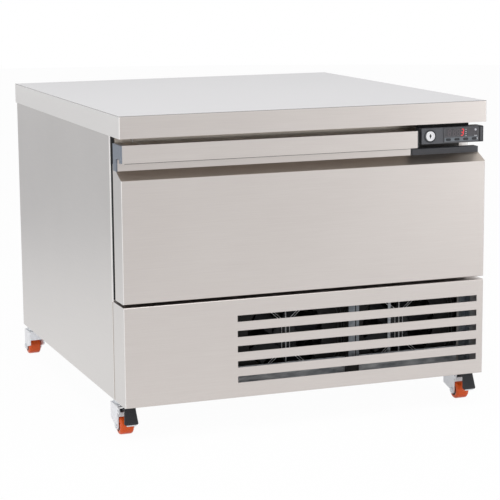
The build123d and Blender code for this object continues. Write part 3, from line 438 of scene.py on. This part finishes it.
# Matt black for the rim and seam, and as painted shade in the gap over the housing, the lock's
# keyway and the screws' cross recesses.
black_and_painted_shade = pattern_material(
    "matt black, and painted shade of gaps and recesses",
    (0.5, 0.5, 0.5), ("121214", "1C1C1F"), (0.6, 0.7), 0.01, IOR=1.5,
)
link_piece("housing_black_rim", seam, black_and_painted_shade, "cabinet")
ribbed_grey = pattern_material(
    "ribbed mid-grey ABS",
    (0.9, 0.9, 0.9), ("66666A", "7C7C7F"), (0.45, 0.55), 0.03, cloud=0.1, IOR=1.5,
)
rib_count = 7
rib_pitch = (rim_high[0] - rim - seam_x[1]) / rib_count
rib_rise, rib_left_gap, rib_right_gap = 0.6 * mm, 0.1 * mm, 0.15 * mm
grip = bmesh.new()
for rib in range(rib_count):
    rib_x = seam_x[1] + rib * rib_pitch
    low = (rib_x + rib_left_gap, housing_low.y - rib_rise, rim_low[2] + rim)
    high = (rib_x + rib_pitch - rib_right_gap, housing_low.y + sunk, rim_high[2] - rim)
    add_bar(grip, low, high, edge=0.15 * mm)
link_piece("housing_grip_ribs", grip, ribbed_grey, "cabinet")
shade_strip = bmesh.new()
shade_strip_right = 335.0 * mm
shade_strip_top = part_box("worktop")[0].z - 0.3 * mm
shade_strip_low = (housing_low.x + 2.0 * mm, housing_high.y - 4.5 * mm, housing_high.z - 0.2 * mm)
add_bar(shade_strip, shade_strip_low, (shade_strip_right, housing_high.y - 0.5 * mm, shade_strip_top), edge=0.3 * mm)
link_piece("housing_top_shade_strip", shade_strip, black_and_painted_shade, "cabinet")

# Controller: a smooth charcoal polycarbonate bezel with a lighter key band printed on it, and a
# flush window of smoked acrylic over the digits.
bezel = pattern_material(
    "charcoal polycarbonate",
    (0.9, 0.9, 0.9), ("444448", "555558"), (0.34, 0.44), 0.02, cloud=0.1, IOR=1.58,
)
window = pattern_material(
    "smoked acrylic",
    (5.0, 5.0, 5.0), ("4C4A4D", "565457"), (0.14, 0.2), 0.0005, cloud=0.1, IOR=1.49,
)
band_ink = pattern_material(
    "pale grey screen-printed foil",
    (0.5, 0.5, 0.5), ("6A6F75", "787D83"), (0.4, 0.5), 0.005, cloud=0.1, IOR=1.5,
)
dress(bezel, "controller_body")
dress(window, "display_window")
bezel_low, bezel_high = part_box("controller_body")
face_y = bezel_low.y
keys = [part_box(f"controller_key_{number}") for number in range(1, 5)]
key_z = (keys[0][0].z + keys[0][1].z) / 2
key_xs = [(low.x + high.x) / 2 for low, high in keys]


def oval_points(centre_x, centre_z, width, height):
    """List the points of a bar with half-round ends, in X and Z."""
    steps = 12
    radius = height / 2
    points = []
    for side in (1, -1):
        for step in range(steps + 1):
            angle = math.pi * (step / steps - 0.5) + (0.0 if side > 0 else math.pi)
            x = centre_x + side * (width / 2 - radius) + radius * math.cos(angle)
            points.append((x, centre_z + radius * math.sin(angle)))
    return points


def flat_plate(name, outlines, back_y, thickness, material, body):
    """Make a thin upright plate from an outer outline and its holes."""
    line = bpy.data.curves.new(name, "CURVE")
    line.dimensions = "2D"
    line.fill_mode = "BOTH"
    line.extrude = thickness / 2
    for points in outlines:
        spline = line.splines.new("POLY")
        spline.points.add(len(points) - 1)
        for point, (x, z) in zip(spline.points, points):
            point.co = (x, z, 0.0, 1.0)
        spline.use_cyclic_u = True
    drawn = bpy.data.objects.new(name + "_line", line)
    shape = bmesh.new()
    shape.from_mesh(bpy.data.meshes.new_from_object(drawn))
    bpy.data.objects.remove(drawn)
    upright = Matrix((
        (1, 0, 0, 0),
        (0, 0, -1, back_y - thickness / 2),
        (0, 1, 0, 0),
        (0, 0, 0, 1),
    ))
    bmesh.ops.transform(shape, matrix=upright, verts=shape.verts)
    bmesh.ops.remove_doubles(shape, verts=shape.verts, dist=1e-7)
    link_piece(name, shape, material, body)


band_half_height, band_thickness = 3.6 * mm, 0.2 * mm
hole_width, hole_height = 11.0 * mm, 4.8 * mm
band_left, band_right = bezel_low.x + 1.4 * mm, bezel_high.x - 2.2 * mm
band_low, band_high = key_z - band_half_height, key_z + band_half_height
outer = [
    (band_left, band_low), (band_right, band_low), (band_right, band_high), (band_left, band_high),
]
holes = [oval_points(x, key_z, hole_width, hole_height) for x in key_xs]
flat_plate(
    "controller_key_band", [outer] + holes, face_y, band_thickness,
    band_ink, "cabinet",
)

# Keys: four soft black ovals that stand a little out of the band, each with a domed top. The dome
# is drawn as rings, each with its inset from the side and its depth behind the key's face.
key_width, key_height = 10.4 * mm, 4.2 * mm
for number, (low, high) in enumerate(keys, start=1):
    x = key_xs[number - 1]
    dome_rings = (
        (0.0, high.y), (0.0, low.y + 0.4 * mm), (0.35 * mm, low.y + 0.1 * mm), (1.1 * mm, low.y),
    )
    cap = bmesh.new()
    rings = []
    for inset, y in dome_rings:
        points = oval_points(x, key_z, key_width - 2 * inset, key_height - 2 * inset)
        rings.append([cap.verts.new((px, y, pz)) for px, pz in points])
    for one, two in zip(rings, rings[1:]):
        for step in range(len(one)):
            after = (step + 1) % len(one)
            cap.faces.new((one[step], one[after], two[after], two[step]))
    cap.faces.new(rings[0])
    cap.faces.new(rings[-1])
    piece = link_piece(
        f"key_cap_{number}", cap, black_plastic, f"key_{number}",
        smooth_deg=50.0,
    )
    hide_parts(f"controller_key_{number}")

# Display: four seven-segment digits behind the window, of which one is lit, then a column of
# four oblong lamps, a round lamp at the top right, and two small marks beside the last key.
digit_height, digit_width, digit_slant = 11.6 * mm, 4.6 * mm, 0.14
stroke, stroke_gap, ink_thickness = 1.35 * mm, 0.2 * mm, 0.12 * mm
display_z = 530.2 * mm
unlit_ink = pattern_material(
    "unlit display segment",
    (0.4, 0.4, 0.4), ("5A5256", "615A5D"), (0.4, 0.5), 0.002, IOR=1.5,
)
lit_red = pattern_material(
    "lit red display segment",
    (0.4, 0.4, 0.4), ("D82C34", "E83A42"), (0.4, 0.5), 0.002, IOR=1.5,
)
lamp_grey = pattern_material(
    "milky lamp lens",
    (0.4, 0.4, 0.4), ("B4B5BA", "CDCED3"), (0.3, 0.4), 0.002, IOR=1.49,
)
glowing = lit_red.node_tree.nodes["Principled BSDF"]
glowing.inputs["Emission Color"].default_value = linear("FF2430")
glowing.inputs["Emission Strength"].default_value = 0.6
half_w, half_h = digit_width / 2, digit_height / 2
segments = {
    "top": ((-half_w, half_h), (half_w, half_h)),
    "middle": ((-half_w, 0.0), (half_w, 0.0)),
    "bottom": ((-half_w, -half_h), (half_w, -half_h)),
    "upper_left": ((-half_w, half_h), (-half_w, 0.0)),
    "upper_right": ((half_w, half_h), (half_w, 0.0)),
    "lower_left": ((-half_w, 0.0), (-half_w, -half_h)),
    "lower_right": ((half_w, 0.0), (half_w, -half_h)),
}
three = ("top", "middle", "bottom", "upper_right", "lower_right")
digits = ((283.2 * mm, ()), (293.6 * mm, ()), (301.6 * mm, ()), (309.6 * mm, three))
for number, (digit_x, lit_names) in enumerate(digits, start=1):
    for state, material in (("unlit", unlit_ink), ("lit", lit_red)):
        wanted = [n for n in segments if (n in lit_names) == (state == "lit")]
        if not wanted:
            continue
        outlines = []
        for name in wanted:
            start, end = (Vector(point) for point in segments[name])
            along = (end - start).normalized()
            across = Vector((-along.y, along.x)) * stroke / 2
            start, end = start + along * stroke_gap, end - along * stroke_gap
            tip = along * stroke / 2
            corners = (
                start, start + tip + across, end - tip + across,
                end, end - tip - across, start + tip - across,
            )
            outlines.append([(digit_x + c.x + digit_slant * c.y, display_z + c.y) for c in corners])
        name = f"display_digit_{number}_{state}"
        flat_plate(name, outlines, face_y, ink_thickness, material, "cabinet")
lamps = bmesh.new()
lamp_x, top_lamp_mm, lamp_pitch_mm, lamp_rise = 317.3 * mm, 535.2, 4.0, 0.35 * mm
oblongs = [
    (lamp_x, (top_lamp_mm - lamp_pitch_mm * step) * mm, 1.3 * mm, 0.7 * mm) for step in range(4)
]
oblongs += [
    (337.6 * mm, 522.9 * mm, 3.0 * mm, 0.7 * mm), (341.0 * mm, 517.4 * mm, 1.0 * mm, 1.9 * mm),
]
for x, z, half_x, half_z in oblongs:
    low = (x - half_x, face_y - lamp_rise, z - half_z)
    add_bar(lamps, low, (x + half_x, face_y + 0.2 * mm, z + half_z), edge=0.3 * mm)
round_lamp = ((0.0, 2.2 * mm), (0.4 * mm, 2.1 * mm), (0.6 * mm, 1.2 * mm), (0.65 * mm, 0.0))
round_lamp_place = (337.4 * mm, face_y + 0.1 * mm, 534.2 * mm)
add_turned(lamps, round_lamp_place, (0, -1, 0), round_lamp, steps=24)
link_piece("display_lamps", lamps, lamp_grey, "cabinet", smooth_deg=60.0)

# Lock: turned brass with satin chrome plate, which looks almost white. The barrel's face has a
# wide keyway filled with painted shade, and a rubber collar seals it against the housing.
chrome = pattern_material(
    "satin chrome plate",
    (1.2, 1.2, 1.2), ("DEDEE1", "EAEAEC"), (0.26, 0.36), 0.002, cloud=0.2, Metallic=0.8,
)
dress(chrome, "lock_body", "lock_barrel")
barrel_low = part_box("lock_barrel")[0]
lock_low, lock_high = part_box("lock_body")
lock_x, lock_z = (lock_low.x + lock_high.x) / 2, (lock_low.z + lock_high.z) / 2
key_face = barrel_low.y
keyway_half_width, keyway_depth = 1.2 * mm, 3.0 * mm
keyway = bmesh.new()
add_bar(
    keyway, (lock_x - keyway_half_width, key_face - 0.1 * mm, lock_z - 4.2 * mm),
    (lock_x + keyway_half_width, key_face + keyway_depth, lock_z + 3.6 * mm), edge=0.4 * mm,
)
key_boss = ((0.0, 2.1 * mm), (3.15 * mm, 2.1 * mm), (3.15 * mm, 0.0))
boss_place = (lock_x, key_face + keyway_depth, lock_z + 0.4 * mm)
add_turned(keyway, boss_place, (0, -1, 0), key_boss, steps=24)
link_piece("lock_keyway", keyway, black_and_painted_shade, "lock_barrel")
collar = bmesh.new()
collar_outline = (
    (0.0, 11.0 * mm), (0.9 * mm, 11.7 * mm), (1.3 * mm, 11.7 * mm),
    (1.5 * mm, 11.3 * mm), (1.5 * mm, 11.05 * mm),
)
add_turned(collar, (lock_x, housing_low.y + 0.2 * mm, lock_z), (0, -1, 0), collar_outline, steps=48)
link_piece("lock_rubber_collar", collar, black_plastic, "cabinet")

# Castor tyres: cast orange polyurethane, half glossy, with light scuffs from rolling. Each hub
# shows a grey nylon disc with a raised rim beside the fork.
orange = pattern_material(
    "cast orange polyurethane",
    (2.5, 2.5, 2.5), ("EE560A", "F5661A"), (0.3, 0.4), 0.03, IOR=1.5,
)
hub_grey = pattern_material(
    "grey nylon hub",
    (0.8, 0.8, 0.8), ("3C3A32", "55524A"), (0.45, 0.55), 0.02, IOR=1.53,
)
dish = (
    (2.0 * mm, 11.3 * mm), (1.0 * mm, 11.3 * mm), (0.6 * mm, 10.9 * mm), (0.6 * mm, 9.4 * mm),
    (1.3 * mm, 8.6 * mm), (1.3 * mm, 6.6 * mm), (2.0 * mm, 6.3 * mm), (2.0 * mm, 11.3 * mm),
)
for corner in castors:
    dress(orange, f"castor_wheel_{corner}")
    low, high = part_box(f"castor_wheel_{corner}")
    hub = bmesh.new()
    for outer_x, inward in ((low.x, 1), (high.x, -1)):
        centre = (outer_x, (low.y + high.y) / 2, (low.z + high.z) / 2)
        add_turned(hub, centre, (inward, 0, 0), dish, steps=40)
    link_piece(
        f"castor_hub_{corner}", hub, hub_grey, f"{corner}_wheel",
        smooth_deg=40.0,
    )

# Brake pedals: black nylon moulded over a bright steel strip whose end shows under the toe, with
# rows of small raised dots down the upright tread. The fork's hood behind each is enamelled
# white.
pedal_nylon = pattern_material(
    "matt black pedal nylon",
    (0.7, 0.7, 0.7), ("101218", "181B21"), (0.5, 0.62), 0.02, cloud=0.2, IOR=1.5,
)
hood_enamel = pattern_material(
    "white enamel of the fork hoods",
    (0.8, 0.8, 0.8), ("F4F4F6", "FCFCFD"), (0.3, 0.4), 0.01, IOR=1.5,
)
tread_run, tread_drop = 8.2, 30.2
down = Vector((0.0, -tread_run, -tread_drop)).normalized()
outward = Vector((0.0, -tread_drop, tread_run)).normalized()
tread_top_y, tread_top_z = -362.8 * mm, 57.0 * mm
first_row_mm, row_pitch_mm, dot_pitch_mm = 4.5, 4.2, 4.1
dot = ((-0.3 * mm, 1.0 * mm), (0.25 * mm, 0.95 * mm), (0.5 * mm, 0.5 * mm), (0.55 * mm, 0.0))
strip_half_width, strip_y, strip_z = 9.0 * mm, (-370.0 * mm, -368.0 * mm), (24.3 * mm, 28.0 * mm)
hood_top, hood_half_width = 48 * mm, 13 * mm
for corner in castors[:2]:
    dress(pedal_nylon, f"brake_pedal_{corner}")
    low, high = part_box(f"brake_pedal_{corner}")
    pedal_x = (low.x + high.x) / 2
    dress_faces(
        hood_enamel, f"castor_fork_{corner}",
        lambda face: face.normal.y < -mostly and face.center.z < hood_top
        and abs(face.center.x - pedal_x) < hood_half_width,
    )
    dots = bmesh.new()
    for row in range(6):
        for column in range(5 - row % 2):
            across = (column - (4 - row % 2) / 2) * dot_pitch_mm * mm
            top = Vector((pedal_x + across, tread_top_y, tread_top_z))
            place = top + down * (first_row_mm + row_pitch_mm * row) * mm
            add_turned(dots, place, outward, dot, steps=12)
    link_piece(
        f"pedal_dots_{corner}", dots, pedal_nylon, f"{corner}_pedal",
        smooth_deg=50.0,
    )
    strip = bmesh.new()
    low = (pedal_x - strip_half_width, strip_y[0], strip_z[0])
    add_bar(strip, low, (pedal_x + strip_half_width, strip_y[1], strip_z[1]), edge=0.3 * mm)
    link_piece(f"pedal_strip_{corner}", strip, zinc, f"{corner}_pedal")

# Slotted panel: a galvanised angle in each rear corner closes its side seams, and a dark steel
# trim on each rear edge lays painted shade along them. The fan plate behind it is painted a warm
# black, so that only the wires and the post catch light.
black_paint = pattern_material(
    "black painted sheet",
    (1.5, 1.5, 1.5), ("1B1A19", "262423"), (0.55, 0.7), 0.02, IOR=1.5,
)
dress(black_paint, "fan_plate")
panel_low, panel_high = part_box("lower_front_panel")
angle_sheet, angle_depth, angle_end_gap = 1.2 * mm, 18.0 * mm, 2.0 * mm
angle_inner_x = 342.0 * mm
angles = bmesh.new()
for side in (-1, 1):
    wall, fold = side * (panel_high.x - angle_sheet), side * angle_inner_x
    back = panel_high.y - 0.4 * mm
    for inner, depth in ((fold, angle_sheet), (wall - side * angle_sheet, angle_depth)):
        low = (min(inner, wall), back - depth, panel_low.z + angle_end_gap)
        add_bar(angles, low, (max(inner, wall), back, panel_high.z - angle_end_gap), fine_edge)
link_piece("panel_corner_angles", angles, galvanised, "cabinet")
trim_half_width, trim_y = 0.3 * mm, (panel_high.y - 2.2 * mm, panel_high.y + 0.5 * mm)
trims = bmesh.new()
for x in (panel_low.x, panel_high.x):
    low = (x - trim_half_width, trim_y[0], panel_low.z + 1.0 * mm)
    add_bar(trims, low, (x + trim_half_width, trim_y[1], panel_high.z - 1.0 * mm), edge=0.1 * mm)
link_piece("panel_edge_trims", trims, bevel_painted_shade, "cabinet")

# Cooling parts: the condenser's fins are coated black and the evaporator's are bare, the motors
# and the compressor are black enamelled, and the base tray's sheet has soft painted highlights in
# large cloudy patches.
fins = pattern_material(
    "black-coated aluminium fin stock",
    (1.5, 1.5, 30.0), ("504E4C", "66625F"), (0.5, 0.65), 0.01, Metallic=0.2,
)
cold_fins = pattern_material(
    "mill-finish aluminium fin stock",
    (1.5, 1.5, 30.0), ("A9ADB2", "C6C9CD"), (0.3, 0.45), 0.01, Metallic=1.0,
)
enamel = pattern_material(
    "black stoved enamel",
    (1.2, 1.2, 1.2), ("302F2E", "3C3B39"), (0.4, 0.55), 0.03, IOR=1.5,
)
tray_painted_highlights = pattern_material(
    "hot-dipped tray sheet with painted soft highlights",
    (36.0, 36.0, 12.0), ("858D96", "F0F3F6"), (0.4, 0.55), 0.01, cloud=0.1, Metallic=0.5,
)
dress(tray_painted_highlights, "base_tray")
dress(fins, "condenser")
dress(cold_fins, "evaporator")
dress(enamel, "compressor", "fan_motors")

# Fan guards: welded steel wire with a white nylon coat, with painted shade of the panel making
# the wires grey away from the fan centres. The right one also has a flat stay.
bright_wire = pattern_material(
    "white nylon-coated wire",
    (3.0, 3.0, 3.0), ("F6F7F8", "FDFDFE"), (0.3, 0.4), 0.004, IOR=1.5,
)
dress(bright_wire, "fan_guards")
painted_shade_wire = pattern_material(
    "wire with painted shade of the panel",
    (3.0, 3.0, 3.0), ("4A4B4C", "58595A"), (0.5, 0.6), 0.004, Metallic=0.5,
)
rotor_boxes = [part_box(f"{side}_fan_rotor") for side in ("left", "right")]
fan_xs = [(low.x + high.x) / 2 for low, high in rotor_boxes]
lit_reach = 85 * mm
dress_faces(
    painted_shade_wire, "fan_guards",
    lambda face: min(abs(face.center.x - x) for x in fan_xs) > lit_reach,
)
guard_low, guard_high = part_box("fan_guards")
stay_x, stay_end_gap = (197.5 * mm, 203.5 * mm), 4.0 * mm
stay = bmesh.new()
add_bar(
    stay, (stay_x[0], guard_low.y - 1.2 * mm, guard_low.z + stay_end_gap),
    (stay_x[1], guard_low.y - 0.2 * mm, guard_high.z - stay_end_gap), fine_edge,
)
bright_sheet = pattern_material(
    "new galvanised sheet",
    (6.0, 6.0, 6.0), ("C9CED4", "E6EAEE"), (0.35, 0.5), 0.01,
    kind="TexVoronoi", channel=1, Metallic=0.5,
)
link_piece("fan_guard_stay", stay, bright_sheet, "cabinet")

# Post between the fans: a painted channel with two strips of galvanised sheet riveted to its
# front, one wide and one narrow, with a dark gap between them.
post_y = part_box("fan_plate")[0].y
post_z = (104.0 * mm, 244.0 * mm)
strip_edges_mm = ((101.2, 114.6), (116.8, 122.8))
strips = bmesh.new()
for left, right_side in strip_edges_mm:
    low = (left * mm, post_y - 0.8 * mm, post_z[0])
    add_bar(strips, low, (right_side * mm, post_y + 0.2 * mm, post_z[1]), fine_edge)
link_piece("post_cover_strips", strips, galvanised, "cabinet")

# Rail under the worktop: brushed steel in three lengths, darkened and warmed with painted shade.
# Each joint of the lapped sheet shows as a white strip of painted highlight, and a block closes
# the left end. A matching weld line with the same painted highlight crosses the top of the handle,
# and a fold groove along the handle's front is a dark strip of painted shade.
rail_painted_shade_steel = pattern_material(
    "brushed stainless steel, rail with painted shade",
    brush_mm, ("BFB7AD", "CBC3B9"), (0.35, 0.45), 0.002, cloud=0.3, Metallic=1.0,
)
dress(rail_painted_shade_steel, "top_rail")
rail_low, rail_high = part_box("top_rail")
joint_painted_highlight = pattern_material(
    "white joint line with painted highlight",
    (3.0, 3.0, 3.0), ("F6F7F8", "FDFDFE"), (0.3, 0.4), 0.004, IOR=1.5,
)
joint_x, joint_half_width = 317.4 * mm, 1.1 * mm
edges = bmesh.new()
for side in (-1, 1):
    x = side * joint_x
    add_bar(
        edges, (x - joint_half_width, rail_low.y - 0.8 * mm, rail_low.z + 0.5 * mm),
        (x + joint_half_width, rail_low.y + 0.3 * mm, rail_high.z - 0.5 * mm), fine_edge,
    )
link_piece("rail_joint_edges", edges, joint_painted_highlight, "cabinet")
end = bmesh.new()
block_left = -350.0 * mm
block_high = (rail_low.x + 0.2 * mm, rail_high.y - 0.2 * mm, rail_high.z)
add_bar(end, (block_left, rail_low.y, rail_low.z), block_high, fine_edge)
link_piece("rail_end_block", end, rail_painted_shade_steel, "cabinet")
handle_low, handle_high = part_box("handle_profile")
weld_half_width, weld_end_gap = 0.5 * mm, 3.0 * mm
weld = bmesh.new()
add_bar(
    weld, (-joint_x - weld_half_width, handle_low.y + weld_end_gap, handle_high.z - 0.4 * mm),
    (-joint_x + weld_half_width, handle_high.y - weld_end_gap, handle_high.z + 0.15 * mm),
    edge=0.1 * mm,
)
link_piece("handle_weld_line", weld, joint_painted_highlight, "drawer")
# The fold groove is a dark strip of painted shade.
groove_z = (503.6 * mm, 504.3 * mm)
groove = bmesh.new()
add_bar(
    groove, (handle_low.x + 4.0 * mm, handle_low.y - 0.05 * mm, groove_z[0]),
    (handle_high.x - 3.0 * mm, handle_low.y + 0.4 * mm, groove_z[1]),
)
link_piece("handle_fold_groove", groove, fold_painted_shade, "drawer")

# Sealing tape: black foam rubber on the front folds of the side panels, a seal that also lays
# painted shade in the gap at each side of the drawer, and in the gap beside the rail and behind the
# control box.
rubber = pattern_material(
    "extruded black rubber",
    (0.8, 0.8, 0.8), ("242527", "303134"), (0.6, 0.72), 0.02, cloud=0.2, IOR=1.52,
)
tape = bmesh.new()
fold_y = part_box("left_side_panel")[0].y
tape_thickness = 2.0 * mm
# Left and right edge, foot and top of each run, in millimetres
runs = (
    (-355.8, -338.5, 250.0, 495.0), (338.5, 355.8, 250.0, 495.0),
    (-356.0, -350.0, 494.0, 546.5), (338.5, 356.0, 512.0, 546.5),
)
for left, right_side, foot, top in runs:
    low = (left * mm, fold_y - tape_thickness, foot * mm)
    add_bar(tape, low, (right_side * mm, fold_y + 0.1 * mm, top * mm), edge=0.4 * mm)
link_piece("side_seal_and_shade_strips", tape, rubber, "cabinet")

# Drawer gasket: extruded rubber, a bellows that ends in a flat magnetic lip, mitred and welded at
# its four corners.
gasket_low, gasket_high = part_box("drawer_gasket")
depth = gasket_high.y - gasket_low.y
width = 14.0 * mm
# The section's outline, as shares of its width and depth
profile = (
    (0.10, 0.0), (0.90, 0.0), (0.90, 0.16), (0.70, 0.24), (0.98, 0.42), (0.72, 0.60), (0.98, 0.76),
    (1.00, 0.80), (1.00, 0.97), (0.94, 1.0), (0.06, 1.0), (0.0, 0.97), (0.0, 0.80),
    (0.02, 0.76), (0.28, 0.60), (0.02, 0.42), (0.30, 0.24), (0.10, 0.16),
)
ring = bmesh.new()
corners = []
for side_x, side_z in ((-1, -1), (1, -1), (1, 1), (-1, 1)):
    corner_points = []
    for across, along in profile:
        inset = width * (1.0 - across)
        x = (gasket_low.x + inset) if side_x < 0 else (gasket_high.x - inset)
        z = (gasket_low.z + inset) if side_z < 0 else (gasket_high.z - inset)
        corner_points.append(ring.verts.new((x, gasket_low.y + depth * along, z)))
    corners.append(corner_points)
for index, one in enumerate(corners):
    two = corners[(index + 1) % 4]
    for step in range(len(profile)):
        after = (step + 1) % len(profile)
        ring.faces.new((one[step], one[after], two[after], two[step]))
gasket = link_piece("bellows_gasket", ring, rubber, "drawer", smooth_deg=25.0)
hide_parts("drawer_gasket")

# Rear screws: zinc-plated pan heads with a cross recess, three down each rear corner.
screw_low, screw_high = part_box("panel_screws")
head, head_radius, rows = 2.0 * mm, 4.0 * mm, 3
row_pitch = (screw_high.z - screw_low.z - 2 * head_radius) / (rows - 1)
shank_length, shank_radius = 5.0 * mm, 1.9 * mm
slot_half_length, slot_half_width, slot_depth = 2.0 * mm, 0.35 * mm, 0.9 * mm
dome = (
    (-shank_length, 0.0), (-shank_length, shank_radius), (0.0, shank_radius), (0.0, head_radius),
    (0.7 * mm, head_radius), (1.4 * mm, 3.4 * mm), (1.9 * mm, 2.2 * mm), (head, 1.0 * mm),
    (head, 0.0),
)
cross = ((slot_half_length, slot_half_width), (slot_half_width, slot_half_length))
screws, recess = bmesh.new(), bmesh.new()
for x in (screw_low.x + head_radius, screw_high.x - head_radius):
    for row in range(rows):
        z = screw_low.z + head_radius + row_pitch * row
        add_turned(screws, (x, screw_high.y - head, z), (0, 1, 0), dome, steps=28)
        for half_x, half_z in cross:
            low = (x - half_x, screw_high.y - slot_depth, z - half_z)
            add_bar(recess, low, (x + half_x, screw_high.y + 0.02 * mm, z + half_z), edge=0.1 * mm)
plated = link_piece("rear_pan_screws", screws, zinc, "cabinet", smooth_deg=40.0)
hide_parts("panel_screws")
# Each cross recess is a black block of painted shade.
link_piece("rear_screw_recesses", recess, black_and_painted_shade, "cabinet")
